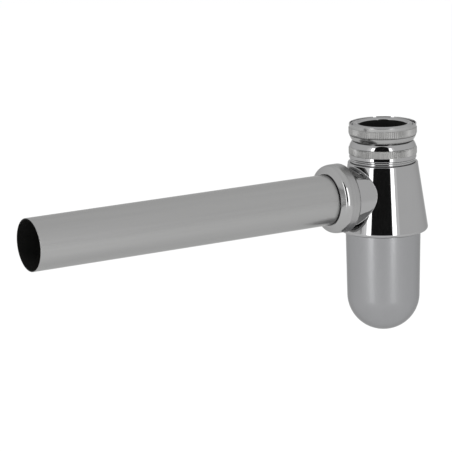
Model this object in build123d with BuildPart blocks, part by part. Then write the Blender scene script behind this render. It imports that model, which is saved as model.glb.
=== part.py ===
from build123d import *
import math
import os

# A chrome cup trap for a basin: a flanged inlet tube dips through a conical body into a screw-on cup,
# and a straight tube leaves the side of the body. Sizes are in millimetres.
# The inlet runs up +Z and the outlet runs out along -X. The origin is on the inlet axis,
# where the rolled rim of the inlet tube meets its bore. Angles are in degrees.

# Both tubes
tube_r = 16.0
tube_wall = 0.8
inlet_length = 109.5
rim_height = 1.3
outlet_reach = 250.7
tube_end_relief = 0.2
tube_edge_r = 0.2

# Threads of the inlet nuts and of the outlet nut, drawn as plain walls at the pitch radius
thread_over_tube = 4.2
outlet_thread_over_tube = 3.2
thread_pitch = 2.309
thread_gap = 0.05

# Knurled nuts of the inlet
union_rise = 1.2
nut_stack_gap = 0.3
nut_lip_wall = 1.2
nut_lip_height = 2.4
nut_knurl_depth = 0.18
nut_knurl_height = 5.0
nut_knurl_slope = 1.2
nut_knurl_in = 0.45
nut_taper_height = 3.5
nut_taper_in = 1.8
nut_taper_bulge = 0.2
nut_end_wall = 2.0
nut_relief_step = 0.7
nut_relief_height = 1.5
nut_edge_r = 0.5
nut_mouth_chamfer = 0.4

# Outlet nut: a plain round nut, crowned towards a slightly conical front face
outlet_nut_gap = 1.45
outlet_nut_wall = 2.55
outlet_nut_turns = 3
outlet_nut_end_wall = 3.9
outlet_crown_r = 8.0
outlet_crown_length = 3.75
outlet_face_depth = 1.75
outlet_corner_r = 2.0
outlet_lip_wall = 0.6
outlet_nut_rear_r = 2.1

# Compression seal and slip ring, alike at the inlet and at the outlet
seal_depth = 4.5
seal_tip_wall = 0.75
seal_mouth_wall = 1.8
seal_head = 0.65
seal_head_gap = 0.5
slip_ring_thickness = 1.0
slip_ring_gap = 0.3

# Body
collar_step = 0.55
collar_height = 2.65
shoulder_width = 1.3
body_flare = 6.75
body_shoulder_r = 0.7
body_edge_r = 2.0
body_wall = 2.4
boss_undercut = 0.65
boss_below_shoulder = 1.35
boss_fillet_r = 0.5
outlet_passage_r = 13.2
socket_wall = 2.0
cup_seat_wall = 1.5
cup_seat_land = 2.0
cup_socket_depth = 9.7
cup_socket_wall = 4.95

# Cup and its gasket
cup_thread_gap = 0.1
cup_straight = 1.0
cup_taper_in = 0.7
cup_below_dip = 24.0
cup_wall = 1.3
gasket_thickness = 1.5
gasket_width = 2.0
gasket_gap = 0.1

# Clearances
tube_pass_gap = 0.3
rim_gap = 0.25
seal_gap = 0.08
seat_gap = 0.05
tube_stop_gap = 0.5
nut_seat_gap = 0.1

# Radii that follow
bore_r = tube_r - tube_wall
pass_r = tube_r + tube_pass_gap
male_r = tube_r + thread_over_tube - thread_gap
female_r = male_r + 2 * thread_gap
nut_lip_r = female_r + nut_lip_wall
nut_knurl_r = nut_lip_r + nut_knurl_depth
nut_taper_r = nut_knurl_r - nut_knurl_in
nut_end_r = nut_taper_r - nut_taper_in
nut_relief_r = female_r - nut_relief_step
outlet_male_r = tube_r + outlet_thread_over_tube - thread_gap
outlet_female_r = outlet_male_r + 2 * thread_gap
outlet_relief_r = outlet_female_r - nut_relief_step
outlet_nut_r = outlet_female_r + outlet_nut_wall
outlet_lip_r = pass_r + outlet_lip_wall
rim_r = nut_relief_r - rim_gap
rim_half_width = (rim_r - bore_r) / 2
rim_centre_r = bore_r + rim_half_width
rim_roll_r = (rim_half_width**2 + rim_height**2) / (2 * rim_height)
seal_tip_r = tube_r + seal_tip_wall
seal_mouth_r = tube_r + seal_mouth_wall
collar_r = nut_lip_r - collar_step
body_top_r = collar_r + shoulder_width
body_bottom_r = body_top_r + body_flare
boss_r = outlet_male_r - boss_undercut
cup_bore_r = body_bottom_r - cup_socket_wall
cup_thread_r = cup_bore_r - cup_thread_gap
cup_dome_r = cup_thread_r - cup_taper_in
gasket_r = cup_thread_r - gasket_gap
gasket_bore_r = gasket_r - gasket_width

# Heights along the inlet that follow
nut_height = nut_lip_height + nut_knurl_height + nut_taper_height
nut_inside = nut_height - nut_end_wall
seal_stack = seal_head + slip_ring_thickness + 2 * seat_gap
compression_open_z = union_rise - nut_height - nut_stack_gap - nut_height
collar_top_z = compression_open_z - nut_seat_gap
shoulder_z = collar_top_z - collar_height
neck_end_z = compression_open_z + nut_inside - seal_stack
outlet_z = shoulder_z - boss_below_shoulder - boss_r
cup_seat_z = outlet_z - outlet_passage_r - cup_seat_wall
cup_rim_z = cup_seat_z - gasket_thickness - 2 * seat_gap
body_bottom_z = cup_seat_z - cup_socket_depth
cup_bottom_z = -inlet_length - cup_below_dip
dome_z = cup_bottom_z + cup_dome_r
body_slope = body_flare / (shoulder_z - body_bottom_z)
wall_across = body_wall * math.sqrt(1 + body_slope**2)

# Distances along the outlet that follow
socket_seat = cup_bore_r + socket_wall
outlet_nut_rear = body_bottom_r + outlet_nut_gap
boss_end = outlet_nut_rear + outlet_nut_turns * thread_pitch
outlet_nut_inside = boss_end + seal_stack
outlet_nut_front = outlet_nut_inside + outlet_nut_end_wall
crown_end = outlet_nut_front - outlet_face_depth
crown_start = crown_end - outlet_crown_length
relief_end = outlet_nut_front + tube_stop_gap


def profile_plane(start, radius_dir, outward_dir):
    """A plane for turned profiles: its first direction is the radius, its second runs along the axis."""
    return Plane(origin=start, x_dir=radius_dir, z_dir=Vector(radius_dir).cross(Vector(outward_dir)))


def axis_of(plane):
    """The axis that a profile drawn on this plane turns about."""
    return Axis(plane.origin, plane.y_dir)


def body_r_at(z):
    """Outside radius of the conical body at a height."""
    return body_top_r + (shoulder_z - z) * body_slope


def make_knurled_nut(plane):
    """A knurled nut, drawn from its open end at the plane's origin to its closed end."""
    knurl_start = nut_lip_height
    knurl_end = nut_lip_height + nut_knurl_height
    thread_end = nut_inside - nut_relief_height
    with BuildPart() as nut:
        with BuildSketch(plane) as profile:
            with BuildLine():
                Polyline(
                    (nut_end_r, nut_height),
                    (pass_r, nut_height),
                    (pass_r, nut_inside),
                    (nut_relief_r, nut_inside),
                    (nut_relief_r, thread_end),
                    (female_r, thread_end),
                    (female_r, nut_mouth_chamfer),
                    (female_r + nut_mouth_chamfer, 0),
                    (nut_lip_r, 0),
                    (nut_lip_r, knurl_start),
                    (nut_knurl_r, knurl_start),
                    (nut_knurl_r, knurl_end - nut_knurl_slope),
                    (nut_taper_r, knurl_end),
                )
                SagittaArc((nut_taper_r, knurl_end), (nut_end_r, nut_height), nut_taper_bulge)
            make_face()
            for corner in ((nut_end_r, nut_height), (nut_lip_r, 0)):
                fillet(profile.vertices().sort_by_distance(corner)[0], nut_edge_r)
        revolve(axis=axis_of(plane))
    return nut.part


def make_seal(plane, around_r, nut_r):
    """A tapered rubber ring, its head on the mouth plane and its taper pointing inward."""
    seal_head_r = nut_r - seal_head_gap
    with BuildPart() as seal:
        with BuildSketch(plane):
            with BuildLine():
                Polyline(
                    (around_r + seal_gap, -seal_depth),
                    (seal_tip_r, -seal_depth),
                    (seal_mouth_r, 0),
                    (seal_head_r, seat_gap),
                    (seal_head_r, seal_head),
                    (around_r + seal_gap, seal_head),
                    close=True,
                )
            make_face()
        revolve(axis=axis_of(plane))
    return seal.part


def make_slip_ring(plane, nut_r):
    """A flat ring between the head of the seal and the closed end of the nut."""
    slip_ring_r = nut_r - slip_ring_gap
    with BuildPart() as ring:
        with BuildSketch(plane):
            with BuildLine():
                Polyline(
                    (pass_r, seal_head + seat_gap),
                    (slip_ring_r, seal_head + seat_gap),
                    (slip_ring_r, seal_head + seat_gap + slip_ring_thickness),
                    (pass_r, seal_head + seat_gap + slip_ring_thickness),
                    close=True,
                )
            make_face()
        revolve(axis=axis_of(plane))
    return ring.part


os.makedirs("parts", exist_ok=True)

up = (0, 0, 1)
down = (0, 0, -1)
right = (1, 0, 0)
left = (-1, 0, 0)
inlet_plane = profile_plane((0, 0, 0), right, up)
outlet_plane = profile_plane((0, 0, outlet_z), up, left)

# Inlet tube: a thin drawn tube with its top edge rolled outward into a low rounded rim
with BuildPart() as inlet_tube:
    with BuildSketch(inlet_plane):
        rim_inner_r = rim_roll_r - tube_wall
        rim_centre_z = rim_height - rim_roll_r
        rim_edge = (
            rim_centre_r + rim_inner_r * rim_half_width / rim_roll_r,
            rim_centre_z - rim_inner_r * rim_centre_z / rim_roll_r,
        )
        rim_root_z = rim_centre_z + math.sqrt(rim_inner_r**2 - (rim_centre_r - tube_r) ** 2)
        with BuildLine():
            Line((bore_r, -inlet_length), (bore_r, 0))
            ThreePointArc((bore_r, 0), (rim_centre_r, rim_height), (rim_r, 0))
            Line((rim_r, 0), rim_edge)
            ThreePointArc(rim_edge, (rim_centre_r, rim_centre_z + rim_inner_r), (tube_r, rim_root_z))
            Polyline((tube_r, rim_root_z), (tube_r, -inlet_length), (bore_r, -inlet_length))
        make_face()
    revolve(axis=Axis.Z)

# Union nut: open end up, hanging round the rolled rim
inlet_union_nut = make_knurled_nut(profile_plane((0, 0, union_rise), right, down))

# Compression nut: open end down, screwed on the neck of the body
inlet_compression_nut = make_knurled_nut(profile_plane((0, 0, compression_open_z), right, up))

# Seals and slip rings, each pair seated in the mouth of the neck or of the outlet boss
neck_mouth = profile_plane((0, 0, neck_end_z), right, up)
boss_mouth = profile_plane((-boss_end, 0, outlet_z), up, left)
inlet_seal = make_seal(neck_mouth, tube_r, nut_relief_r)
inlet_slip_ring = make_slip_ring(neck_mouth, nut_relief_r)
outlet_seal = make_seal(boss_mouth, tube_r - tube_end_relief, outlet_relief_r)
outlet_slip_ring = make_slip_ring(boss_mouth, outlet_relief_r)

# Body: one casting with a threaded neck, a conical skirt and a threaded outlet boss
with BuildPart() as trap_body:
    with BuildSketch(inlet_plane) as outside:
        with BuildLine():
            Polyline(
                (0, neck_end_z),
                (male_r, neck_end_z),
                (male_r, collar_top_z),
                (collar_r, collar_top_z),
                (collar_r, shoulder_z),
                (body_top_r, shoulder_z),
                (body_bottom_r, body_bottom_z),
                (0, body_bottom_z),
                close=True,
            )
        make_face()
        shoulder = outside.vertices().sort_by_distance((body_top_r, shoulder_z))[0]
        fillet(shoulder, body_shoulder_r)
        bottom_edge = outside.vertices().sort_by_distance((body_bottom_r, body_bottom_z))[0]
        fillet(bottom_edge, body_edge_r)
    revolve(axis=Axis.Z)

    with BuildSketch(outlet_plane):
        with BuildLine():
            Polyline(
                (0, 0),
                (boss_r, 0),
                (boss_r, outlet_nut_rear + nut_mouth_chamfer),
                (outlet_male_r, outlet_nut_rear + nut_mouth_chamfer),
                (outlet_male_r, boss_end),
                (0, boss_end),
                close=True,
            )
        make_face()
    revolve(axis=axis_of(outlet_plane))
    junction = trap_body.edges(Select.LAST).filter_by(GeomType.BSPLINE)
    fillet(junction, boss_fillet_r)

    with BuildSketch(inlet_plane):
        chamber_top_z = shoulder_z - body_wall
        land_top_z = cup_seat_z + cup_seat_land
        chamber_bottom_r = body_r_at(land_top_z) - wall_across
        slope_top_z = land_top_z + chamber_bottom_r - gasket_bore_r
        with BuildLine():
            Polyline(
                (0, neck_end_z),
                (seal_mouth_r + seat_gap, neck_end_z),
                (seal_tip_r + seat_gap, neck_end_z - seal_depth),
                (pass_r, neck_end_z - seal_depth),
                (pass_r, chamber_top_z),
                (body_r_at(chamber_top_z) - wall_across, chamber_top_z),
                (body_r_at(slope_top_z) - wall_across, slope_top_z),
                (gasket_bore_r, land_top_z),
                (gasket_bore_r, cup_seat_z),
                (cup_bore_r, cup_seat_z),
                (cup_bore_r, body_bottom_z),
                (0, body_bottom_z),
                close=True,
            )
        make_face()
    revolve(axis=Axis.Z, mode=Mode.SUBTRACT)

    with BuildSketch(outlet_plane):
        with BuildLine():
            Polyline(
                (0, 0),
                (outlet_passage_r, 0),
                (outlet_passage_r, socket_seat),
                (pass_r, socket_seat),
                (pass_r, boss_end - seal_depth),
                (seal_tip_r + seat_gap, boss_end - seal_depth),
                (seal_mouth_r + seat_gap, boss_end),
                (0, boss_end),
                close=True,
            )
        make_face()
    revolve(axis=axis_of(outlet_plane), mode=Mode.SUBTRACT)

# Cup gasket: a flat ring between the seat in the body and the rim of the cup
with BuildPart() as cup_gasket:
    with BuildSketch(Plane.XY.offset(cup_rim_z + seat_gap)):
        Circle(gasket_r)
        Circle(gasket_bore_r, mode=Mode.SUBTRACT)
    extrude(amount=gasket_thickness)

# Cup: a drawn cup with a threaded rim, slightly tapered walls and a round bottom
with BuildPart() as cup:
    with BuildSketch(inlet_plane):
        straight_end_z = body_bottom_z - cup_straight
        dome_inner_r = cup_dome_r - cup_wall
        half = math.sqrt(0.5)
        with BuildLine():
            Polyline(
                (cup_thread_r - cup_wall, cup_rim_z),
                (cup_thread_r, cup_rim_z),
                (cup_thread_r, straight_end_z),
                (cup_dome_r, dome_z),
            )
            ThreePointArc(
                (cup_dome_r, dome_z),
                (cup_dome_r * half, dome_z - cup_dome_r * half),
                (0, cup_bottom_z),
            )
            Line((0, cup_bottom_z), (0, cup_bottom_z + cup_wall))
            ThreePointArc(
                (0, cup_bottom_z + cup_wall),
                (dome_inner_r * half, dome_z - dome_inner_r * half),
                (dome_inner_r, dome_z),
            )
            Polyline(
                (dome_inner_r, dome_z),
                (cup_thread_r - cup_wall, straight_end_z),
                (cup_thread_r - cup_wall, cup_rim_z),
            )
        make_face()
    revolve(axis=Axis.Z)

# Outlet nut: screwed on the boss, with its closed end outward
with BuildPart() as outlet_nut:
    crown_centre_r = outlet_nut_r - outlet_crown_r
    crown_angle = math.asin(outlet_crown_length / outlet_crown_r)
    crown_mid = (
        crown_centre_r + outlet_crown_r * math.cos(crown_angle / 2),
        crown_start + outlet_crown_r * math.sin(crown_angle / 2),
    )
    corner = (crown_centre_r + outlet_crown_r * math.cos(crown_angle), crown_end)
    thread_end = outlet_nut_inside - nut_relief_height
    with BuildSketch(outlet_plane) as nut_profile:
        with BuildLine():
            Polyline(
                corner,
                (outlet_lip_r, outlet_nut_front),
                (pass_r, outlet_nut_front),
                (pass_r, outlet_nut_inside),
                (outlet_relief_r, outlet_nut_inside),
                (outlet_relief_r, thread_end),
                (outlet_female_r, thread_end),
                (outlet_female_r, outlet_nut_rear + nut_mouth_chamfer),
                (outlet_female_r + nut_mouth_chamfer, outlet_nut_rear),
                (outlet_nut_r, outlet_nut_rear),
                (outlet_nut_r, crown_start),
            )
            ThreePointArc((outlet_nut_r, crown_start), crown_mid, corner)
        make_face()
        rear_edge = nut_profile.vertices().sort_by_distance((outlet_nut_r, outlet_nut_rear))[0]
        fillet(rear_edge, outlet_nut_rear_r)
        front_corner = nut_profile.vertices().sort_by_distance(corner)[0]
        fillet(front_corner, outlet_corner_r)
        lip_edge = nut_profile.vertices().sort_by_distance((outlet_lip_r, outlet_nut_front))[0]
        fillet(lip_edge, nut_edge_r)
    revolve(axis=axis_of(outlet_plane))

# Outlet tube: a straight tube whose inserted end is drawn down a little to enter the seal
with BuildPart() as outlet_tube:
    inner_end = socket_seat + tube_stop_gap
    with BuildSketch(outlet_plane) as tube_profile:
        with BuildLine():
            Polyline(
                (bore_r, inner_end),
                (tube_r - tube_end_relief, inner_end),
                (tube_r - tube_end_relief, relief_end),
                (tube_r, relief_end),
                (tube_r, outlet_reach),
                (bore_r, outlet_reach),
                close=True,
            )
        make_face()
        for r in (tube_r, bore_r):
            fillet(tube_profile.vertices().sort_by_distance((r, outlet_reach))[0], tube_edge_r)
    revolve(axis=axis_of(outlet_plane))

pieces = {
    "inlet_union_nut": inlet_union_nut,
    "inlet_tube": inlet_tube.part,
    "inlet_compression_nut": inlet_compression_nut,
    "inlet_slip_ring": inlet_slip_ring,
    "inlet_seal": inlet_seal,
    "trap_body": trap_body.part,
    "cup_gasket": cup_gasket.part,
    "cup": cup.part,
    "outlet_nut": outlet_nut.part,
    "outlet_slip_ring": outlet_slip_ring,
    "outlet_seal": outlet_seal,
    "outlet_tube": outlet_tube.part,
}
for name, piece in pieces.items():
    piece.label = name
    export_step(piece, f"parts/{name}.step")
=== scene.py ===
"""Looks of a chrome cup trap for a basin: turned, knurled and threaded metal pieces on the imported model.

Sizes of the trap are in millimetres and are turned into metres where a mesh is made.
"""

import logging
import math
from dataclasses import dataclass
from enum import Enum
from typing import Callable

import bpy
import numpy as np
from mathutils import Matrix, Vector


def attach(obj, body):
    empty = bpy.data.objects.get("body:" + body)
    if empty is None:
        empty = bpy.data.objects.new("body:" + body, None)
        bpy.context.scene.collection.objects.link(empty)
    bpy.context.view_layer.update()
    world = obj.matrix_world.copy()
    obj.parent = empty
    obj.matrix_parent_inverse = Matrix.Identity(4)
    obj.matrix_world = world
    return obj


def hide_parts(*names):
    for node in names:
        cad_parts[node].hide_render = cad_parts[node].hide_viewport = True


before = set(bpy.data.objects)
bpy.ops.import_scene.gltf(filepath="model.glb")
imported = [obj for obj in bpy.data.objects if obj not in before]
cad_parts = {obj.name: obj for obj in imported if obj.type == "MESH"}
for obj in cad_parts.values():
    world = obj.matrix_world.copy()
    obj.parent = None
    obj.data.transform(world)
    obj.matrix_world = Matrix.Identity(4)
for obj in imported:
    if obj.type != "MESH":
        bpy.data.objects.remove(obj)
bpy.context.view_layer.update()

MM = 0.001
TINY = 1e-9
THREAD_COLUMNS = 192
LOG = logging.getLogger("trap")

Ripple = Callable[[np.ndarray, np.ndarray], np.ndarray]
Point = tuple[float, float]


class TurnAxis(Enum):
    """The two axes that pieces of the trap are turned about, by their height."""

    INLET = 0.0
    OUTLET = -43.5


class Slot(Enum):
    """Names of material slots that the dressed pieces carry."""

    POLISHED = "polished_chrome"
    SATIN = "satin_chrome"


def fill(node: bpy.types.Node, values: dict[str, object]) -> None:
    """Sets sockets of a node.

    Args:
        node: the node.
        values: what each named socket gets.
    """
    for name, value in values.items():
        node.inputs[name].default_value = value


@dataclass(frozen=True)
class Finish:
    """A surface finish made of nodes.

    Attributes:
        name: name of the material.
        color: mean colour, linear.
        color_spread: how far the colour wanders from its mean, as a share of it.
        roughness: mean roughness, and how far it wanders up and down.
        grain: waves a metre of the wandering along each axis.
        bump: height of the fine grain in millimetres.
        metallic: 1 for metal, 0 for the rest.
        edge_tint: brightness of a metal at grazing angles.
        specular: specular level of a non-metal.
        cloud_range: values of the noise between which colour and roughness wander.
        fine_scale: waves of the fine grain in one wave of the wandering.
    """

    name: str
    color: tuple[float, float, float]
    color_spread: float
    roughness: tuple[float, float]
    grain: tuple[float, float, float]
    bump: float = 0.0
    metallic: float = 1.0
    edge_tint: float = 1.0
    specular: float = 0.5
    cloud_range: tuple[float, float] = (0.3, 0.7)
    fine_scale: float = 9.0

    def material(self) -> bpy.types.Material:
        """Builds the node material.

        Returns:
            The material, ready to be put in a mesh's slot.
        """
        made = bpy.data.materials.new(self.name)
        made.use_nodes = True
        nodes = made.node_tree.nodes
        link = made.node_tree.links.new
        nodes.clear()
        out = nodes.new("ShaderNodeOutputMaterial")
        shader = nodes.new("ShaderNodeBsdfPrincipled")
        link(shader.outputs["BSDF"], out.inputs["Surface"])
        fill(shader, {"Metallic": self.metallic, "Specular IOR Level": self.specular})
        fill(shader, {"Specular Tint": (self.edge_tint,) * 3 + (1.0,)})

        place = nodes.new("ShaderNodeTexCoord")
        stretch = nodes.new("ShaderNodeMapping")
        fill(stretch, {"Scale": self.grain})
        link(place.outputs["Object"], stretch.inputs["Vector"])
        cloud = nodes.new("ShaderNodeTexNoise")
        fill(cloud, {"Scale": 1.0, "Detail": 4.0, "Roughness": 0.6})
        link(stretch.outputs["Vector"], cloud.inputs["Vector"])

        ramp = nodes.new("ShaderNodeValToRGB")
        shares = (1.0 - self.color_spread, 1.0 + self.color_spread)
        for stop, position, share in zip(ramp.color_ramp.elements, self.cloud_range, shares):
            stop.position = position
            stop.color = tuple(c * share for c in self.color) + (1.0,)
        link(cloud.outputs["Fac"], ramp.inputs["Fac"])
        link(ramp.outputs["Color"], shader.inputs["Base Color"])

        sheen = nodes.new("ShaderNodeMapRange")
        mean, wander = self.roughness
        fill(sheen, {"From Min": self.cloud_range[0], "From Max": self.cloud_range[1]})
        fill(sheen, {"To Min": mean - wander, "To Max": mean + wander})
        link(cloud.outputs["Fac"], sheen.inputs["Value"])
        link(sheen.outputs["Result"], shader.inputs["Roughness"])

        if self.bump > 0:
            fine = nodes.new("ShaderNodeTexNoise")
            fill(fine, {"Scale": self.fine_scale, "Detail": 3.0})
            link(stretch.outputs["Vector"], fine.inputs["Vector"])
            height = nodes.new("ShaderNodeBump")
            fill(height, {"Strength": 1.0, "Distance": self.bump * MM})
            link(fine.outputs["Fac"], height.inputs["Height"])
            link(height.outputs["Normal"], shader.inputs["Normal"])
        return made


class Coat(Enum):
    """The finishes that the trap is made in, and the near-black painted shade of its bores."""

    POLISHED = Finish(
        "polished_chrome", (0.335, 0.335, 0.337), color_spread=0.02,
        roughness=(0.045, 0.015), grain=(40.0, 40.0, 40.0), edge_tint=0.6,
    )
    KNURLED = Finish(
        "knurled_chrome", (0.318, 0.317, 0.313), color_spread=0.15,
        roughness=(0.36, 0.03), grain=(420.0, 420.0, 60.0), bump=0.004, edge_tint=0.7,
    )
    TURNED = Finish(
        "turned_chrome", (0.335, 0.335, 0.335), color_spread=0.05,
        roughness=(0.11, 0.02), grain=(700.0, 25.0, 25.0), edge_tint=0.6,
    )
    WORN = Finish(
        "worn_chrome", (0.325, 0.325, 0.323), color_spread=0.05,
        roughness=(0.2, 0.03), grain=(90.0, 90.0, 40.0), edge_tint=0.7,
    )
    BRUSHED = Finish(
        "brushed_chrome", (0.308, 0.308, 0.308), color_spread=0.06,
        roughness=(0.3, 0.03), grain=(700.0, 25.0, 25.0), edge_tint=0.7,
    )
    SATIN = Finish(
        "satin_chrome", (0.284, 0.286, 0.292), color_spread=0.03,
        roughness=(0.23, 0.02), grain=(60.0, 60.0, 12.0), edge_tint=0.6,
    )
    DRAWN = Finish(
        "drawn_chrome", (0.328, 0.328, 0.326), color_spread=0.08,
        roughness=(0.26, 0.02), grain=(1.5, 70.0, 70.0), edge_tint=0.7,
    )
    # Painted shade: a near-black colour that stands in for the shade inside the tubes, the cup and the
    # inner part of the outlet tube's open end.
    PAINTED_SHADE_BORE = Finish(
        "bore_painted_shade", (0.008, 0.008, 0.0075), color_spread=0.3, roughness=(0.7, 0.08),
        grain=(90.0, 90.0, 90.0), bump=0.01, metallic=0.0, specular=0.1,
    )
    RUBBER = Finish(
        "black_rubber", (0.018, 0.018, 0.019), color_spread=0.15, roughness=(0.6, 0.08),
        grain=(300.0, 300.0, 300.0), bump=0.02, metallic=0.0,
    )
    PLASTIC = Finish(
        "white_plastic", (0.80, 0.80, 0.77), color_spread=0.03, roughness=(0.45, 0.05),
        grain=(200.0, 200.0, 200.0), bump=0.01, metallic=0.0,
    )


class Paint:
    """The materials of the trap, made once."""

    def __init__(self) -> None:
        """Makes the material of each finish."""
        self.made = {coat: coat.value.material() for coat in Coat}

    def dress_rings(self) -> None:
        """Dresses the seals, the gasket and the slip rings, which keep their CAD shape."""
        rings = {
            Coat.RUBBER: ("inlet_seal", "outlet_seal", "cup_gasket"),
            Coat.PLASTIC: ("inlet_slip_ring", "outlet_slip_ring"),
        }
        for coat, nodes in rings.items():
            for node in nodes:
                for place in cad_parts[node].material_slots:
                    place.material = self.made[coat]
                LOG.info("%s: dressed", node)


class Profile:
    """A turned profile of lines and arcs, with exact normals.

    It is drawn with the metal on its left: up the outside, inward over a top face, down a bore.
    """

    def __init__(self) -> None:
        """Starts an empty profile."""
        self.runs: list[np.ndarray] = []

    def line(self, start: Point, end: Point, rows: int = 1) -> "Profile":
        """Adds a straight run.

        Args:
            start: radius and height of its first point.
            end: radius and height of its last point.
            rows: how many faces it has along its length.

        Returns:
            The profile itself.
        """
        a, b = np.array(start, float), np.array(end, float)
        step = (b - a) / np.linalg.norm(b - a)
        share = np.linspace(0.0, 1.0, rows + 1)[:, None]
        points = a + (b - a) * share
        normals = np.tile((step[1], -step[0]), (rows + 1, 1))
        self.runs.append(np.hstack((points, normals)))
        return self

    def arc(self, centre: Point, radius: float, first: float, last: float, rows: int = 8) -> "Profile":
        """Adds a circular run.

        Args:
            centre: radius and height of the circle's centre.
            radius: radius of the circle.
            first: angle of the first point, in degrees from the outward direction.
            last: angle of the last point. Growing angles make an outer round, falling ones a hollow.
            rows: how many faces it has along its length.

        Returns:
            The profile itself.
        """
        angle = np.radians(np.linspace(first, last, rows + 1))
        ray = np.stack((np.cos(angle), np.sin(angle)), axis=1)
        normals = ray if last > first else -ray
        self.runs.append(np.hstack((np.array(centre) + radius * ray, normals)))
        return self

    def corners(self, *corners: tuple[float, ...], rows: int = 6) -> "Profile":
        """Adds a run of straight lines whose corners may be rounded.

        Args:
            corners: radius and height of each corner, and its rounding where it has one.
            rows: faces in each rounding.

        Returns:
            The profile itself.
        """
        points = [np.array(c[:2], float) for c in corners]
        start = points[0]
        for before, at, after, corner in zip(points, points[1:], points[2:], corners[1:]):
            if len(corner) == 2:
                self.line(tuple(start), tuple(at))
                start = at
                continue
            rounding = corner[2]
            into = (at - before) / np.linalg.norm(at - before)
            away = (after - at) / np.linalg.norm(after - at)
            turn = math.atan2(into[0] * away[1] - into[1] * away[0], float(into @ away))
            reach = rounding * math.tan(abs(turn) / 2)
            entry, leave = at - into * reach, at + away * reach
            side = np.array((-into[1], into[0])) * math.copysign(1.0, turn)
            centre = entry + side * rounding
            ray = entry - centre
            first = math.degrees(math.atan2(ray[1], ray[0]))
            self.line(tuple(start), tuple(entry))
            self.arc(tuple(centre), rounding, first, first + math.degrees(turn), rows)
            start = leave
        self.line(tuple(start), tuple(points[-1]))
        return self


class MetalMesh:
    """Collects grids of vertices with exact normals and turns them into one object."""

    def __init__(self, name: str, axis: TurnAxis, coats: tuple[Coat, ...]) -> None:
        """Starts an empty mesh.

        Args:
            name: name of the object.
            axis: the axis that its turned grids go round.
            coats: finishes of its material slots, the plain one first.
        """
        self.name = name
        self.axis = axis
        self.lift = np.array((0.0, 0.0, axis.value))
        self.coats = coats
        self.segments = 288
        self.points: list[np.ndarray] = []
        self.normals: list[np.ndarray] = []
        self.faces: list[list[int]] = []
        self.slots: list[int] = []
        self.count = 0

    def place(self, ring: np.ndarray) -> np.ndarray:
        """Turns columns of side, side and axial distance into the shared frame.

        Args:
            ring: rows of two sideways distances and the distance along the axis.

        Returns:
            The same rows as x, y and z, for directions; places add the axis's own height.
        """
        if self.axis is TurnAxis.INLET:
            return ring
        return np.stack((-ring[..., 2], ring[..., 0], -ring[..., 1]), axis=-1)

    def grid(
        self, points: np.ndarray, normals: np.ndarray, coat: Coat | None = None, closed: bool = True
    ) -> None:
        """Adds a grid of faces.

        Args:
            points: array of rows by columns by three, in millimetres in the shared frame.
            normals: outward normals of the same shape.
            coat: finish of the faces, the plain one where it isn't given.
            closed: whether the last column joins the first one.
        """
        slot = 0 if coat is None else self.coats.index(coat)
        rows, columns = points.shape[:2]
        index = self.count + np.arange(rows * columns).reshape(rows, columns)
        if closed:
            index = np.hstack((index, index[:, :1]))
        quads = np.stack((index[:-1, :-1], index[:-1, 1:], index[1:, 1:], index[1:, :-1]), axis=-1)
        self.faces += quads.reshape(-1, 4).tolist()
        self.slots += [slot] * (quads.size // 4)
        self.points.append(points.reshape(-1, 3))
        self.normals.append(normals.reshape(-1, 3))
        self.count += rows * columns

    def turn(self, profile: Profile, coat: Coat | None = None) -> None:
        """Turns a profile about the axis.

        Args:
            profile: the profile to turn.
            coat: finish of the wall, the plain one where it isn't given.
        """
        around = np.linspace(0.0, 2 * math.pi, self.segments, endpoint=False)
        for run in profile.runs:
            r, h, nr, nh = (run[:, k][:, None] for k in range(4))
            flat = np.zeros_like(around)[None, :]
            ring = np.stack((r * np.cos(around), r * np.sin(around), h + flat), axis=-1)
            normal = np.stack((nr * np.cos(around), nr * np.sin(around), nh + flat), axis=-1)
            self.grid(self.place(ring) + self.lift, self.place(normal), coat)

    def relief(
        self, radius: float, start: float, end: float, rows: int, columns: int,
        ripple: Ripple, coat: Coat | None = None,
    ) -> None:
        """Turns a wall whose radius changes round it, such as a knurl or a thread.

        Args:
            radius: mean radius of the wall.
            start: height of its first row; a wall that runs down is a bore.
            end: height of its last row.
            rows: faces along the wall.
            columns: faces round the wall.
            ripple: gives the change of radius for arrays of angle and height.
            coat: finish of the wall, the plain one where it isn't given.
        """
        around = np.linspace(0.0, 2 * math.pi, columns, endpoint=False)[None, :]
        height = np.linspace(start, end, rows + 1)[:, None]
        angle, h = np.broadcast_arrays(around, height)
        reach = radius + ripple(angle, h)
        ring = np.stack((reach * np.cos(angle), reach * np.sin(angle), h), axis=-1)
        along = np.gradient(ring, axis=0)
        across = np.roll(ring, -1, axis=1) - np.roll(ring, 1, axis=1)
        normal = np.cross(across, along)
        normal /= np.linalg.norm(normal, axis=-1, keepdims=True)
        self.grid(self.place(ring) + self.lift, self.place(normal), coat)

    def join(self, other: "MetalMesh") -> None:
        """Adds the grids of another mesh with the same finishes.

        Args:
            other: the mesh whose grids are taken over.
        """
        self.points += other.points
        self.normals += other.normals
        self.faces += [[v + self.count for v in face] for face in other.faces]
        self.slots += other.slots
        self.count += other.count

    def build(self, paint: Paint) -> bpy.types.Object:
        """Makes the object.

        Args:
            paint: materials of the trap.

        Returns:
            The new object, linked to the scene.
        """
        points = np.concatenate(self.points) * MM
        normals = np.concatenate(self.normals)
        mesh = bpy.data.meshes.new(self.name)
        mesh.from_pydata(points.tolist(), [], self.faces)
        for coat in self.coats:
            mesh.materials.append(paint.made[coat])
        mesh.polygons.foreach_set("material_index", self.slots)
        mesh.polygons.foreach_set("use_smooth", [True] * len(self.faces))
        mesh.normals_split_custom_set_from_vertices(normals.tolist())
        mesh.update()
        obj = bpy.data.objects.new(self.name, mesh)
        bpy.context.scene.collection.objects.link(obj)
        return obj


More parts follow.
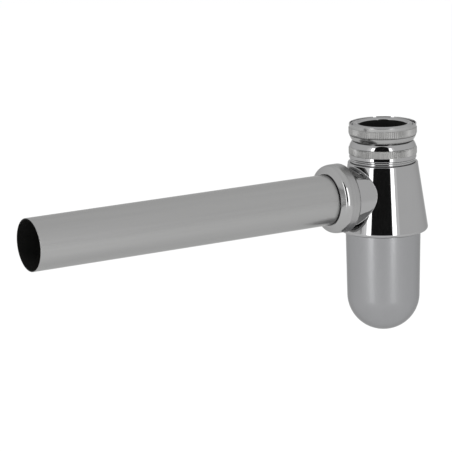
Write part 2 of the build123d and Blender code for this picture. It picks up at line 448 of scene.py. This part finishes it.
@dataclass(frozen=True)
class Thread:
    """A right-hand thread that runs out at both ends.

    Attributes:
        pitch: travel of one turn.
        depth: distance from the mean radius to the crest.
        run_out: change of radius at its ends, inward on a screw and outward in a bore.
    """

    pitch: float
    depth: float
    run_out: float

    def cut(self, mesh: MetalMesh, radius: float, start: float, end: float, rows: int = 48) -> None:
        """Adds a threaded wall to a mesh.

        Args:
            mesh: the mesh that grows.
            radius: mean radius of the wall.
            start: height of its first row; a wall that runs down is a bore.
            end: height of its last row.
            rows: faces along the wall.
        """
        low, high = sorted((start, end))
        run_out = self.run_out if start > end else -self.run_out
        fade_in = 0.5 * self.pitch

        def ripple(angle: np.ndarray, height: np.ndarray) -> np.ndarray:
            """Change of radius on the helix, faded at the ends."""
            wave = np.cos(2 * math.pi * height / self.pitch - angle)
            fade = np.clip((height - low) / fade_in, 0, 1) * np.clip((high - height) / fade_in, 0, 1)
            return self.depth * wave * fade + run_out * (1.0 - fade)

        mesh.relief(radius, start, end, rows, THREAD_COLUMNS, ripple)


@dataclass(frozen=True)
class Fit:
    """Sizes that several pieces share."""

    tube_r: float = 16.0
    tube_wall: float = 0.8
    outlet_z: float = TurnAxis.OUTLET.value
    pass_r: float = 16.3
    pipe_thread: Thread = Thread(pitch=2.309, depth=0.5, run_out=0.3)
    male_r: float = 20.15
    female_r: float = 20.25
    outlet_male_r: float = 19.15
    outlet_female_r: float = 19.25
    cup_thread: Thread = Thread(pitch=2.0, depth=0.28, run_out=0.2)
    collar_top_z: float = -21.0
    shoulder_z: float = -23.65
    neck_end_z: float = -13.75
    body_bottom_z: float = -67.9
    body_top_r: float = 22.2
    body_bottom_r: float = 28.95

    @property
    def bore_r(self) -> float:
        """Bore radius of both tubes."""
        return self.tube_r - self.tube_wall

    @property
    def slope(self) -> float:
        """Growth of the body's radius for each millimetre down."""
        return (self.body_bottom_r - self.body_top_r) / (self.shoulder_z - self.body_bottom_z)

    @property
    def lean(self) -> float:
        """Angle of the body's wall from the upright, in radians."""
        return math.atan(self.slope)

    def body_r(self, z: float | np.ndarray) -> float | np.ndarray:
        """Outside radius of the conical body.

        Args:
            z: height, or an array of heights.

        Returns:
            The radius at each height.
        """
        return self.body_top_r + (self.shoulder_z - z) * self.slope


class Piece:
    """What every dressed piece of the trap has and does.

    Attributes:
        node: CAD node that it stands for.
        body: CAD body that it moves with.
        slot: name of a material slot that it carries; not used.
        fit: sizes that it shares with other pieces.
    """

    node: str
    body: str
    slot: Slot
    fit: Fit

    def mesh(self) -> MetalMesh:
        """Makes the mesh of the piece, each in its own way."""
        raise NotImplementedError

    def build(self, paint: Paint) -> bpy.types.Object:
        """Builds the piece in the place of its CAD node.

        Args:
            paint: materials of the trap.

        Returns:
            The dressed object.
        """
        obj = self.mesh().build(paint)
        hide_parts(self.node)
        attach(obj, self.body)
        LOG.info("%s: %d faces", obj.name, len(obj.data.polygons))
        return obj


@dataclass
class KnurledNut(Piece):
    """A knurled nut with a plain lip at its open end and a convex closed end.

    Attributes:
        open_z: height of its open end.
        up: 1 where the closed end is up, -1 where it is down.
        plain_coat: finish of the lip and the taper.
        lip_flare: how far the lip narrows towards the knurl.
        knurl_slope: length of the knurl that falls towards the taper, by knurl_in.
        taper_bulge: how far the taper stands out from a cone.
        tip_angle: part of the taper's arc that its rounded tip takes, in degrees.
        crest: share of a tooth that is flat.
        tooth_chamfer: length of the sloped end of each tooth, which falls by tooth_drop.
    """

    node: str
    body: str
    open_z: float
    up: float
    fit: Fit
    plain_coat: Coat = Coat.POLISHED
    slot: Slot = Slot.POLISHED
    lip_r: float = 21.45
    lip_height: float = 2.4
    lip_flare: float = 0.24
    knurl_r: float = 21.63
    knurl_height: float = 5.0
    knurl_slope: float = 1.2
    knurl_in: float = 0.45
    taper_height: float = 3.5
    taper_bulge: float = 0.2
    tip_angle: float = 2.5
    tip_in: float = 0.1
    tip_r: float = 0.15
    end_r: float = 19.38
    end_wall: float = 2.0
    relief_r: float = 19.55
    relief_height: float = 1.5
    edge_r: float = 0.5
    mouth_chamfer: float = 0.4
    teeth: int = 108
    columns_per_tooth: int = 10
    groove_depth: float = 0.38
    crest: float = 0.15
    tooth_chamfer: float = 0.35
    tooth_drop: float = 0.3

    @property
    def knurl_end(self) -> float:
        """Distance from the open end to the end of the knurl."""
        return self.lip_height + self.knurl_height

    @property
    def height(self) -> float:
        """Height of the nut."""
        return self.knurl_end + self.taper_height

    def mesh(self) -> MetalMesh:
        """Makes the nut.

        Returns:
            Its mesh.
        """
        f = self.fit
        coats = (Coat.POLISHED, Coat.KNURLED, Coat.WORN)
        mesh = MetalMesh(self.node + "_knurled", TurnAxis.INLET, coats)
        inside = self.height - self.end_wall
        thread_end = inside - self.relief_height
        root_r = f.female_r + f.pipe_thread.run_out
        mouth_r = f.female_r + self.mouth_chamfer

        lip = Profile().corners(
            (mouth_r, 0), (self.lip_r, 0, self.edge_r),
            (self.lip_r - self.lip_flare, self.lip_height),
        )
        bore = Profile().corners(
            (f.pass_r, self.height), (f.pass_r, inside), (self.relief_r, inside),
            (self.relief_r, thread_end), (root_r, thread_end),
        )
        mouth = Profile().line((root_r, self.mouth_chamfer), (mouth_r, 0))
        for profile in (bore, mouth):
            mesh.turn(self.stand(profile))
        for profile in (lip, self.taper()):
            mesh.turn(self.stand(profile), self.plain_coat)

        low, high = sorted((self.at(self.lip_height), self.at(self.knurl_end)))
        columns = self.teeth * self.columns_per_tooth
        mesh.relief(self.knurl_r, low, high, 32, columns, self.knurl(low, high), Coat.KNURLED)
        bottom, top = sorted((self.at(self.mouth_chamfer), self.at(thread_end)))
        f.pipe_thread.cut(mesh, f.female_r, top, bottom, 40)
        return mesh

    def taper(self) -> Profile:
        """Draws the convex taper and the flat closed end.

        Returns:
            The outer profile from the knurl to the passage of the tube.
        """
        start = np.array((self.knurl_r - self.knurl_in, self.knurl_end))
        end = np.array((self.end_r, self.height))
        chord = end - start
        half = float(np.linalg.norm(chord)) / 2
        radius = (half**2 + self.taper_bulge**2) / (2 * self.taper_bulge)
        inward = np.array((-chord[1], chord[0])) / (2 * half)
        centre = (start + end) / 2 + inward * (radius - self.taper_bulge)
        first = math.degrees(math.atan2(*(start - centre)[::-1]))
        last = math.degrees(math.atan2(*(end - centre)[::-1])) - self.tip_angle
        tip = centre + radius * np.array((math.cos(math.radians(last)), math.sin(math.radians(last))))
        return Profile().arc(tuple(centre), radius, first, last, 14).corners(
            (tip[0], tip[1]), (self.end_r - self.tip_in, self.height, self.tip_r),
            (self.fit.pass_r, self.height),
        )

    def knurl(self, low: float, high: float) -> Ripple:
        """Straight teeth with chamfered ends that fall towards the taper.

        Args:
            low: height of one end of the teeth.
            high: height of the other end.

        Returns:
            The change of radius for arrays of angle and height.
        """
        slope_start = self.at(self.knurl_end - self.knurl_slope)

        def ripple(angle: np.ndarray, height: np.ndarray) -> np.ndarray:
            """Change of radius on the teeth."""
            phase = np.abs(((angle * self.teeth / (2 * math.pi)) % 1.0) - 0.5) * 2
            groove = np.clip((phase - self.crest) / (1.0 - self.crest), 0, 1)
            ends = np.clip(np.minimum(height - low, high - height) / self.tooth_chamfer, 0, 1)
            tooth = -self.groove_depth * groove - self.tooth_drop * (1.0 - ends) * (1.0 - groove)
            run = np.clip((height - slope_start) * self.up, 0, None) / self.knurl_slope
            return tooth - self.knurl_in * run

        return ripple

    def at(self, distance: float) -> float:
        """Height of a point of the nut.

        Args:
            distance: distance from the open end.

        Returns:
            The height in the shared frame.
        """
        return self.open_z + self.up * distance

    def stand(self, profile: Profile) -> Profile:
        """Sets a profile drawn from the open end at its real height.

        Args:
            profile: profile whose heights are distances from the open end.

        Returns:
            The placed profile, reversed where the nut stands on its closed end.
        """
        placed = Profile()
        for run in profile.runs:
            moved = run * np.array((1.0, self.up, 1.0, self.up))
            moved[:, 1] += self.open_z
            placed.runs.append(moved if self.up > 0 else moved[::-1])
        return placed


@dataclass
class InletTube(Piece):
    """The inlet tube: polished rolled rim, bore in near-black painted shade, plain dip."""

    fit: Fit
    node: str = "inlet_tube"
    body: str = "inlet_tube"
    slot: Slot = Slot.POLISHED
    length: float = 109.5
    rim_r: float = 19.3
    rim_height: float = 1.3
    edge_r: float = 0.2

    def mesh(self) -> MetalMesh:
        """Makes the tube.

        Returns:
            Its mesh.
        """
        f = self.fit
        half = (self.rim_r - f.bore_r) / 2
        roll = (half**2 + self.rim_height**2) / (2 * self.rim_height)
        centre = (f.bore_r + half, self.rim_height - roll)
        inner = roll - f.tube_wall
        edge = math.asin((roll - self.rim_height) / roll)
        way = np.array((math.cos(edge), math.sin(edge)))
        root = math.acos((f.tube_r - centre[0]) / inner)
        low, high = math.degrees(edge), 180.0 - math.degrees(edge)
        mesh = MetalMesh("inlet_tube_drawn", TurnAxis.INLET, (Coat.POLISHED, Coat.PAINTED_SHADE_BORE))
        outside = Profile().corners(
            (f.bore_r, -self.length), (f.tube_r, -self.length, self.edge_r),
            (f.tube_r, centre[1] + inner * math.sin(root)),
        )
        outside.arc(centre, inner, math.degrees(root), low, 16)
        outside.line(tuple(np.array(centre) + inner * way), tuple(np.array(centre) + roll * way))
        mesh.turn(outside)
        mesh.turn(Profile().arc(centre, roll, low, high, 32))
        # The bore is painted near-black shade.
        mesh.turn(Profile().line((f.bore_r, 0), (f.bore_r, -self.length), 4), Coat.PAINTED_SHADE_BORE)
        return mesh


@dataclass
class OutletTube(Piece):
    """The straight outlet tube: drawn outside, bore in near-black painted shade.

    Attributes:
        bright_edge: width of the chrome edge of the open end; inside it the end face takes the painted
            shade of the bore.
    """

    fit: Fit
    node: str = "outlet_tube"
    body: str = "outlet_tube"
    slot: Slot = Slot.SATIN
    inner_end: float = 26.5
    relief_end: float = 43.477
    reach: float = 250.7
    end_relief: float = 0.2
    edge_r: float = 0.2
    bright_edge: float = 0.25

    def mesh(self) -> MetalMesh:
        """Makes the tube.

        Returns:
            Its mesh.
        """
        f = self.fit
        mesh = MetalMesh("outlet_tube_drawn", TurnAxis.OUTLET, (Coat.DRAWN, Coat.PAINTED_SHADE_BORE))
        small = f.tube_r - self.end_relief
        shade_edge_r = f.tube_r - self.bright_edge
        outside = Profile().corners(
            (f.bore_r, self.inner_end), (small, self.inner_end), (small, self.relief_end),
            (f.tube_r, self.relief_end + self.end_relief), (f.tube_r, self.reach, self.edge_r),
            (shade_edge_r, self.reach),
        )
        inside = Profile().corners(
            (shade_edge_r, self.reach), (f.bore_r, self.reach, self.edge_r), (f.bore_r, self.inner_end),
        )
        mesh.turn(outside)
        # The inner part of the end face and the bore are painted near-black shade.
        mesh.turn(inside, Coat.PAINTED_SHADE_BORE)
        return mesh


@dataclass
class OutletNut(Piece):
    """The plain round outlet nut, crowned towards a slightly conical front face.

    Attributes:
        face_depth: height of the conical front face.
        corner_r: rounding between the crown and that face.
    """

    fit: Fit
    node: str = "outlet_nut"
    body: str = "outlet_nut"
    slot: Slot = Slot.POLISHED
    rear: float = 30.4
    front: float = 42.977
    inside: float = 39.077
    nut_r: float = 21.8
    crown_r: float = 8.0
    crown_length: float = 3.75
    face_depth: float = 1.75
    corner_r: float = 2.0
    lip_r: float = 16.9
    lip_edge_r: float = 0.5
    rear_r: float = 2.1
    relief_r: float = 18.55
    relief_height: float = 1.5
    mouth_chamfer: float = 0.4

    def crowned_front(self) -> Profile:
        """Draws the crown, the rounded corner and the conical face up to the lip.

        Returns:
            The outer profile from the end of the straight wall to the flat lip.
        """
        crown_end = self.front - self.face_depth
        crown_start = crown_end - self.crown_length
        centre = np.array((self.nut_r - self.crown_r, crown_start))
        sweep = math.asin(self.crown_length / self.crown_r)
        corner = centre + self.crown_r * np.array((math.cos(sweep), math.sin(sweep)))
        fall = np.array((self.lip_r, self.front)) - corner
        face = math.atan2(-fall[0], fall[1])
        normal = np.array((math.cos(face), math.sin(face)))
        inner = self.crown_r - self.corner_r
        turn = math.acos((float((corner - centre) @ normal) - self.corner_r) / inner)
        meet = face - turn
        round_centre = centre + inner * np.array((math.cos(meet), math.sin(meet)))
        leave = round_centre + self.corner_r * normal
        front = Profile().arc(tuple(centre), self.crown_r, 0.0, math.degrees(meet), 12)
        front.arc(tuple(round_centre), self.corner_r, math.degrees(meet), math.degrees(face), 12)
        return front.corners(
            (leave[0], leave[1]), (self.lip_r, self.front, self.lip_edge_r),
            (self.fit.pass_r, self.front),
        )

    def mesh(self) -> MetalMesh:
        """Makes the nut.

        Returns:
            Its mesh.
        """
        f = self.fit
        thread_end = self.inside - self.relief_height
        thread_start = self.rear + self.mouth_chamfer
        root_r = f.outlet_female_r + f.pipe_thread.run_out
        mouth_r = f.outlet_female_r + self.mouth_chamfer
        mesh = MetalMesh("outlet_nut_turned", TurnAxis.OUTLET, (Coat.TURNED, Coat.BRUSHED))
        front = self.crowned_front()
        wall = Profile().corners(
            (mouth_r, self.rear), (self.nut_r, self.rear, self.rear_r),
            (self.nut_r, front.runs[0][0, 1]), rows=12,
        )
        bore = Profile().corners(
            (f.pass_r, self.front), (f.pass_r, self.inside), (self.relief_r, self.inside),
            (self.relief_r, thread_end), (root_r, thread_end),
        )
        mouth = Profile().line((root_r, thread_start), (mouth_r, self.rear))
        mesh.turn(wall, Coat.BRUSHED)
        for profile in (front, bore, mouth):
            mesh.turn(profile)
        f.pipe_thread.cut(mesh, f.outlet_female_r, thread_end, thread_start)
        return mesh


@dataclass
class Cup(Piece):
    """The satin cup with its threaded rim and round bottom; its inside takes the near-black painted shade.

    Attributes:
        thread_lift: distance from the body's foot up to the thread.
    """

    fit: Fit
    node: str = "cup"
    body: str = "cup"
    slot: Slot = Slot.SATIN
    rim_z: float = -59.8
    straight_end_z: float = -68.9
    thread_r: float = 23.9
    thread_lift: float = 0.1
    dome_r: float = 23.2
    dome_z: float = -110.3
    wall: float = 1.3

    def mesh(self) -> MetalMesh:
        """Makes the cup.

        Returns:
            Its mesh.
        """
        f = self.fit
        mesh = MetalMesh("cup_drawn", TurnAxis.INLET, (Coat.SATIN, Coat.PAINTED_SHADE_BORE))
        thread_low = f.body_bottom_z + self.thread_lift
        inner_r = self.dome_r - self.wall
        rim_inner_r = self.thread_r - self.wall
        taper = math.degrees(math.atan2(self.thread_r - self.dome_r, self.straight_end_z - self.dome_z))
        outside = Profile().arc((0.0, self.dome_z), self.dome_r, -90.0, -taper, 64)
        outside.line(tuple(outside.runs[-1][-1, :2]), (self.thread_r, self.straight_end_z), 6)
        outside.line((self.thread_r, self.straight_end_z), (self.thread_r, thread_low))
        outside.line((self.thread_r - f.cup_thread.run_out, self.rim_z), (rim_inner_r, self.rim_z))
        inside = Profile().line((rim_inner_r, self.rim_z), (rim_inner_r, self.straight_end_z))
        inside.line((rim_inner_r, self.straight_end_z), (inner_r, self.dome_z), 4)
        inside.arc((0.0, self.dome_z), inner_r, -taper, -90.0, 48)
        mesh.turn(outside)
        # The inside is painted near-black shade.
        mesh.turn(inside, Coat.PAINTED_SHADE_BORE)
        f.cup_thread.cut(mesh, self.thread_r, thread_low, self.rim_z, 40)
        return mesh


@dataclass
class BodyCasting(Piece):
    """The body: threaded neck, collar, conical skirt and the outlet boss that grows out of it.

    Attributes:
        seam_overlap: how far the rounded shoulder laps the skirt.
        window: angle on each side of the outlet that the sheet round the boss covers, in degrees.
        radian_weight: millimetres up the skirt that count as one radian round it.
        columns: faces round the boss.
    """

    fit: Fit
    node: str = "trap_body"
    body: str = "trap_body"
    slot: Slot = Slot.POLISHED
    collar_r: float = 20.9
    ridges: int = 2
    ridge_depth: float = 0.25
    shoulder_r: float = 0.7
    seam_overlap: float = 0.001
    edge_r: float = 2.0
    boss_r: float = 18.5
    boss_fillet_r: float = 0.5
    boss_step: float = 30.8
    boss_end: float = 37.327
    passage_r: float = 13.2
    passage_start: float = 20.0
    socket_seat: float = 26.0
    seal_depth: float = 4.5
    seal_tip_r: float = 16.8
    seal_mouth_r: float = 17.85
    chamber_wall: float = 2.43
    chamber_top_z: float = -26.05
    slope_top_z: float = -53.26
    land_top_z: float = -56.2
    seat_z: float = -58.2
    gasket_bore_r: float = 21.8
    cup_bore_r: float = 24.0
    cup_thread_r: float = 24.15
    window: float = 100.0
    radian_weight: float = 20.0
    columns: int = 480

    @property
    def skirt_low(self) -> float:
        """Height where the rounded foot meets the skirt."""
        f = self.fit
        return f.body_bottom_z + self.edge_r * math.tan((math.pi / 2 + f.lean) / 2) * math.cos(f.lean)

    @property
    def skirt_high(self) -> float:
        """Height where the rounded shoulder meets the skirt."""
        f = self.fit
        return f.shoulder_z - self.shoulder_r * math.tan((math.pi / 2 - f.lean) / 2) * math.cos(f.lean)

    def mesh(self) -> MetalMesh:
        """Makes the body.

        Returns:
            Its mesh.
        """
        f = self.fit
        mesh = MetalMesh("trap_body_cast", TurnAxis.INLET, (Coat.POLISHED,))
        socket_r = self.cup_thread_r + f.cup_thread.run_out
        neck_r = f.male_r - f.pipe_thread.run_out
        valley_r = self.collar_r - self.ridge_depth
        seam_z = self.skirt_high - self.seam_overlap
        foot = Profile().corners(
            (socket_r, f.body_bottom_z), (f.body_bottom_r, f.body_bottom_z, self.edge_r),
            (f.body_r(self.skirt_low), self.skirt_low), rows=12,
        )
        top = Profile().corners(
            (f.body_r(seam_z), seam_z), (f.body_top_r, f.shoulder_z, self.shoulder_r),
            (valley_r, f.shoulder_z), rows=10,
        )
        collar = Profile().line((valley_r, f.collar_top_z), (neck_r, f.collar_top_z))
        mouth = Profile().corners(
            (neck_r, f.neck_end_z), (self.seal_mouth_r, f.neck_end_z),
            (self.seal_tip_r, f.neck_end_z - self.seal_depth),
            (f.pass_r, f.neck_end_z - self.seal_depth), (f.pass_r, self.chamber_top_z),
            (f.body_r(self.chamber_top_z) - self.chamber_wall, self.chamber_top_z),
            (f.body_r(self.slope_top_z) - self.chamber_wall, self.slope_top_z),
            (self.gasket_bore_r, self.land_top_z), (self.gasket_bore_r, self.seat_z),
            (self.cup_bore_r, self.seat_z), (socket_r, self.seat_z),
        )
        for profile in (foot, top, collar, mouth):
            mesh.turn(profile)
        mesh.relief(self.collar_r, f.shoulder_z, f.collar_top_z, 40, self.columns // 2, self.ridged)
        f.pipe_thread.cut(mesh, f.male_r, f.collar_top_z, f.neck_end_z)
        f.cup_thread.cut(mesh, self.cup_thread_r, self.seat_z, f.body_bottom_z)
        self.skirt(mesh)
        mesh.join(self.boss())
        return mesh

    def ridged(self, angle: np.ndarray, height: np.ndarray) -> np.ndarray:
        """Rounded ridges of the collar.

        Args:
            angle: angles round the collar, which don't matter here.
            height: heights of the same shape.

        Returns:
            The change of radius at each height.
        """
        f = self.fit
        share = (height - f.shoulder_z) / (f.collar_top_z - f.shoulder_z) * self.ridges
        return self.ridge_depth * (np.abs(np.sin(math.pi * share)) - 1.0)

    def boss(self) -> MetalMesh:
        """Makes the end of the outlet boss, its thread and its bore.

        Returns:
            The mesh, turned about the outlet.
        """
        f = self.fit
        mesh = MetalMesh("boss", TurnAxis.OUTLET, (Coat.POLISHED,))
        root_r = f.outlet_male_r - f.pipe_thread.run_out
        mesh.turn(Profile().line((self.boss_r, self.boss_step), (root_r, self.boss_step)))
        bore = Profile().corners(
            (root_r, self.boss_end), (self.seal_mouth_r, self.boss_end),
            (self.seal_tip_r, self.boss_end - self.seal_depth),
            (f.pass_r, self.boss_end - self.seal_depth), (f.pass_r, self.socket_seat),
            (self.passage_r, self.socket_seat), (self.passage_r, self.passage_start),
        )
        mesh.turn(bore)
        f.pipe_thread.cut(mesh, f.outlet_male_r, self.boss_step, self.boss_end)
        return mesh

    def skirt(self, mesh: MetalMesh) -> None:
        """Adds the cone, the boss and the hollow round between them.

        Args:
            mesh: the mesh that grows.
        """
        f = self.fit
        round_r = self.boss_fillet_r
        phi = np.linspace(0.0, 2 * math.pi, self.columns, endpoint=False)
        spoke = np.stack((np.zeros_like(phi), np.cos(phi), -np.sin(phi)), axis=-1)
        ball = spoke * (self.boss_r + round_r)
        ball[:, 2] += f.outlet_z
        reach = f.body_r(ball[:, 2]) + round_r / math.cos(f.lean)
        ball[:, 0] = -np.sqrt(reach**2 - ball[:, 1] ** 2)
        flat = np.hypot(ball[:, 0], ball[:, 1])
        out = np.stack((ball[:, 0] / flat, ball[:, 1] / flat), axis=-1) * math.cos(f.lean)
        cone_normal = np.column_stack((out, np.full_like(phi, math.sin(f.lean))))

        share = np.linspace(0.0, 1.0, 9)[:, None, None]
        gap = np.arccos(np.clip((cone_normal * spoke).sum(-1), -1, 1))[None, :, None]
        ray = (np.sin((1 - share) * gap) * cone_normal + np.sin(share * gap) * spoke) / np.sin(gap)
        mesh.grid(ball - round_r * ray, ray)

        root = ball - round_r * spoke
        end = root.copy()
        end[:, 0] = -self.boss_step
        run = np.linspace(0.0, 1.0, 5)[:, None, None]
        boss = root + (end - root) * run
        mesh.grid(boss, np.broadcast_to(spoke, boss.shape))

        seam = ball - round_r * cone_normal
        across, up = np.arctan2(seam[:, 1], -seam[:, 0]), seam[:, 2] - f.outlet_z
        wide = math.radians(self.window)
        top, bottom = self.skirt_high - f.outlet_z, self.skirt_low - f.outlet_z
        grow = np.minimum(
            wide / np.maximum(np.abs(across), TINY),
            np.where(up > 0, top, bottom) / np.where(np.abs(up) < TINY, TINY, up),
        )
        edge = np.stack((across * grow, up * grow), axis=-1)
        for corner in ((-wide, top), (wide, top), (wide, bottom), (-wide, bottom)):
            nearest = np.argmin(np.abs(edge - corner) @ np.array((self.radian_weight, 1.0)))
            edge[nearest] = corner
        ring = np.stack((across, up), axis=-1)
        spread = np.linspace(0.0, 1.0, 25)[:, None, None]
        sheet = edge + (ring - edge) * spread
        self.cone_grid(mesh, sheet[..., 0], sheet[..., 1] + f.outlet_z, True)

        back = np.linspace(-wide, wide - 2 * math.pi, 129)[None, :]
        rows = np.linspace(self.skirt_low, self.skirt_high, 9)[:, None]
        around, height = np.broadcast_arrays(back, rows)
        self.cone_grid(mesh, around, height, False)

    def cone_grid(self, mesh: MetalMesh, angle: np.ndarray, height: np.ndarray, closed: bool) -> None:
        """Adds a grid that lies on the cone.

        Args:
            mesh: the mesh that grows.
            angle: angle from the outlet's side, in radians.
            height: height of each point.
            closed: whether the last column joins the first one.
        """
        radius = self.fit.body_r(height)
        points = np.stack((-radius * np.cos(angle), radius * np.sin(angle), height), axis=-1)
        flat = math.cos(self.fit.lean)
        rise = np.full_like(angle, math.sin(self.fit.lean))
        normals = np.stack((-flat * np.cos(angle), flat * np.sin(angle), rise), axis=-1)
        mesh.grid(points, normals, closed=closed)


@dataclass(frozen=True)
class Strip:
    """A tall strip light.

    Attributes:
        name: name of the lamp.
        offset: its angle from the camera, in degrees to the right of the picture.
        width: the angle that it covers, in degrees.
        radiance: brightness of its face, where 1 is that of the surroundings.
    """

    name: str
    offset: float
    width: float
    radiance: float


@dataclass
class Studio:
    """Floor, light and camera, in metres and degrees.

    Attributes:
        azimuth: direction of the camera.
        floor_lift: what is added to the floor's colour for the rays that see it directly.
        screen_r: distance of the strip lights and the dark screen.
        screen_side: height of the screen's two sides, below its round top.
        screen_from: angle of its left side from the camera.
        strips: the strip lights, with fainter ones that soften their outer sides.
        camera_at: place of the camera, in millimetres.
        camera_to: point that it looks at, in millimetres.
    """

    azimuth: float = -30.546
    floor_z: float = -0.33
    floor_half: float = 9.0
    floor_tone: float = 0.86
    floor_lift: float = 0.14
    screen_r: float = 1.25
    screen_low: float = -0.155
    screen_side: float = 1.05
    screen_top: float = 1.95
    screen_from: float = -34.0
    screen_to: float = 19.5
    screen_tone: float = 0.018
    screen_steps: int = 60
    strip_top: float = 1.1
    strips: tuple[Strip, ...] = (
        Strip("strip_left", offset=-40.3, width=11.6, radiance=3.2),
        Strip("strip_right", offset=25.6, width=10.6, radiance=3.2),
        Strip("glow_left", offset=-50.1, width=8.0, radiance=0.5),
        Strip("glow_left_outer", offset=-58.1, width=8.0, radiance=0.2),
        Strip("glow_right", offset=34.9, width=8.0, radiance=0.3),
    )
    lens: float = 189.9
    sensor: float = 36.0
    camera_at: tuple[float, float, float] = (-839.8, -1226.1, 282.0)
    camera_to: tuple[float, float, float] = (-86.39, 51.01, -64.11)
    camera_roll: float = -1.154

    def direction(self, offset: float) -> Vector:
        """Level direction at an angle from the camera.

        Args:
            offset: the angle, growing to the right of the picture.

        Returns:
            The direction, of length 1.
        """
        angle = math.radians(self.azimuth + offset)
        return Vector((math.sin(angle), -math.cos(angle), 0.0))

    def build(self) -> None:
        """Builds the surroundings, the floor, the lights and the camera."""
        self.world()
        self.floor()
        self.screen()
        for strip in self.strips:
            self.light(strip)
        self.camera()
        bpy.context.scene.view_settings.view_transform = "Standard"

    def world(self) -> None:
        """Makes the plain white surroundings."""
        world = bpy.data.worlds.new("studio")
        world.use_nodes = True
        fill(world.node_tree.nodes["Background"], {"Color": (1.0, 1.0, 1.0, 1.0), "Strength": 1.0})
        bpy.context.scene.world = world

    def floor(self) -> None:
        """Makes the pale floor, lifted to white for the rays that see it directly."""
        half = self.floor_half
        mesh = bpy.data.meshes.new("floor")
        corners = [(x * half, y * half, self.floor_z) for x, y in ((-1, -1), (1, -1), (1, 1), (-1, 1))]
        mesh.from_pydata(corners, [], [(0, 1, 2, 3)])
        made = bpy.data.materials.new("floor")
        made.use_nodes = True
        nodes, link = made.node_tree.nodes, made.node_tree.links.new
        nodes.clear()
        out = nodes.new("ShaderNodeOutputMaterial")
        both = nodes.new("ShaderNodeAddShader")
        matte = nodes.new("ShaderNodeBsdfDiffuse")
        fill(matte, {"Color": (self.floor_tone,) * 3 + (1.0,)})
        lift = nodes.new("ShaderNodeEmission")
        path = nodes.new("ShaderNodeLightPath")
        seen = path.outputs["Is Camera Ray"]
        for ray in ("Is Glossy Ray", "Is Transmission Ray"):
            either = nodes.new("ShaderNodeMath")
            either.operation = "MAXIMUM"
            link(seen, either.inputs[0])
            link(path.outputs[ray], either.inputs[1])
            seen = either.outputs[0]
        level = nodes.new("ShaderNodeMath")
        level.operation = "MULTIPLY"
        level.inputs[1].default_value = self.floor_lift
        link(seen, level.inputs[0])
        link(level.outputs[0], lift.inputs["Strength"])
        link(matte.outputs["BSDF"], both.inputs[0])
        link(lift.outputs["Emission"], both.inputs[1])
        link(both.outputs["Shader"], out.inputs["Surface"])
        mesh.materials.append(made)
        obj = bpy.data.objects.new("floor", mesh)
        bpy.context.scene.collection.objects.link(obj)

    def screen(self) -> None:
        """Makes the dark curved screen with a round top that stands in front of the trap."""
        steps = self.screen_steps
        span = self.screen_to - self.screen_from
        points, faces = [], []
        for i in range(steps + 1):
            share = math.sin(math.pi * (i / steps - 0.5))
            way = self.direction((self.screen_from + self.screen_to + span * share) / 2)
            arch = math.sqrt(max(0.0, 1.0 - share**2))
            top = self.screen_side + (self.screen_top - self.screen_side) * arch
            for height in (self.screen_low, top):
                points.append((way.x * self.screen_r, way.y * self.screen_r, height))
        for i in range(steps):
            faces.append((2 * i, 2 * i + 2, 2 * i + 3, 2 * i + 1))
        mesh = bpy.data.meshes.new("dark_screen")
        mesh.from_pydata(points, [], faces)
        made = bpy.data.materials.new("dark_screen")
        made.use_nodes = True
        shader = made.node_tree.nodes["Principled BSDF"]
        fill(shader, {"Base Color": (self.screen_tone,) * 3 + (1.0,)})
        fill(shader, {"Roughness": 0.9, "Specular IOR Level": 0.0})
        mesh.materials.append(made)
        obj = bpy.data.objects.new("dark_screen", mesh)
        bpy.context.scene.collection.objects.link(obj)
        obj.visible_camera = False
        obj.visible_diffuse = False
        obj.visible_shadow = False

    def light(self, strip: Strip) -> None:
        """Makes a tall strip light that stands on the floor.

        Args:
            strip: its place, width and brightness.
        """
        way = self.direction(strip.offset)
        lamp = bpy.data.lights.new(strip.name, "AREA")
        lamp.shape = "RECTANGLE"
        lamp.size = 2 * self.screen_r * math.tan(math.radians(strip.width / 2))
        lamp.size_y = self.strip_top - self.floor_z
        lamp.energy = strip.radiance * math.pi * lamp.size * lamp.size_y
        obj = bpy.data.objects.new(strip.name, lamp)
        middle = (self.strip_top + self.floor_z) / 2
        obj.location = (way.x * self.screen_r, way.y * self.screen_r, middle)
        obj.rotation_mode = "QUATERNION"
        obj.rotation_quaternion = (-way).to_track_quat("-Z", "Y")
        obj.visible_camera = False
        bpy.context.scene.collection.objects.link(obj)

    def camera(self) -> None:
        """Makes the camera of the photograph."""
        data = bpy.data.cameras.new("camera")
        data.lens = self.lens
        data.sensor_width = self.sensor
        data.sensor_fit = "HORIZONTAL"
        obj = bpy.data.objects.new("camera", data)
        bpy.context.scene.collection.objects.link(obj)
        obj.location = Vector(self.camera_at) * MM
        look = Vector(self.camera_to) * MM - obj.location
        roll = Matrix.Rotation(math.radians(self.camera_roll), 3, "Z")
        obj.rotation_mode = "QUATERNION"
        obj.rotation_quaternion = (look.to_track_quat("-Z", "Y").to_matrix() @ roll).to_quaternion()
        data.clip_start, data.clip_end = 0.05, 60.0
        bpy.context.scene.camera = obj


def main() -> None:
    """Builds the trap and its studio."""
    logging.basicConfig(level=logging.INFO, format="%(message)s")
    fit = Fit()
    paint = Paint()
    union, compression = "inlet_union_nut", "inlet_compression_nut"
    pieces = [
        KnurledNut(union, union, open_z=1.2, up=-1.0, fit=fit, plain_coat=Coat.WORN),
        KnurledNut(compression, compression, open_z=-20.9, up=1.0, fit=fit),
        InletTube(fit),
        BodyCasting(fit),
        OutletNut(fit),
        OutletTube(fit),
        Cup(fit),
    ]
    for piece in pieces:
        piece.build(paint)
    paint.dress_rings()
    Studio().build()


if __name__ == "__main__":
    main()
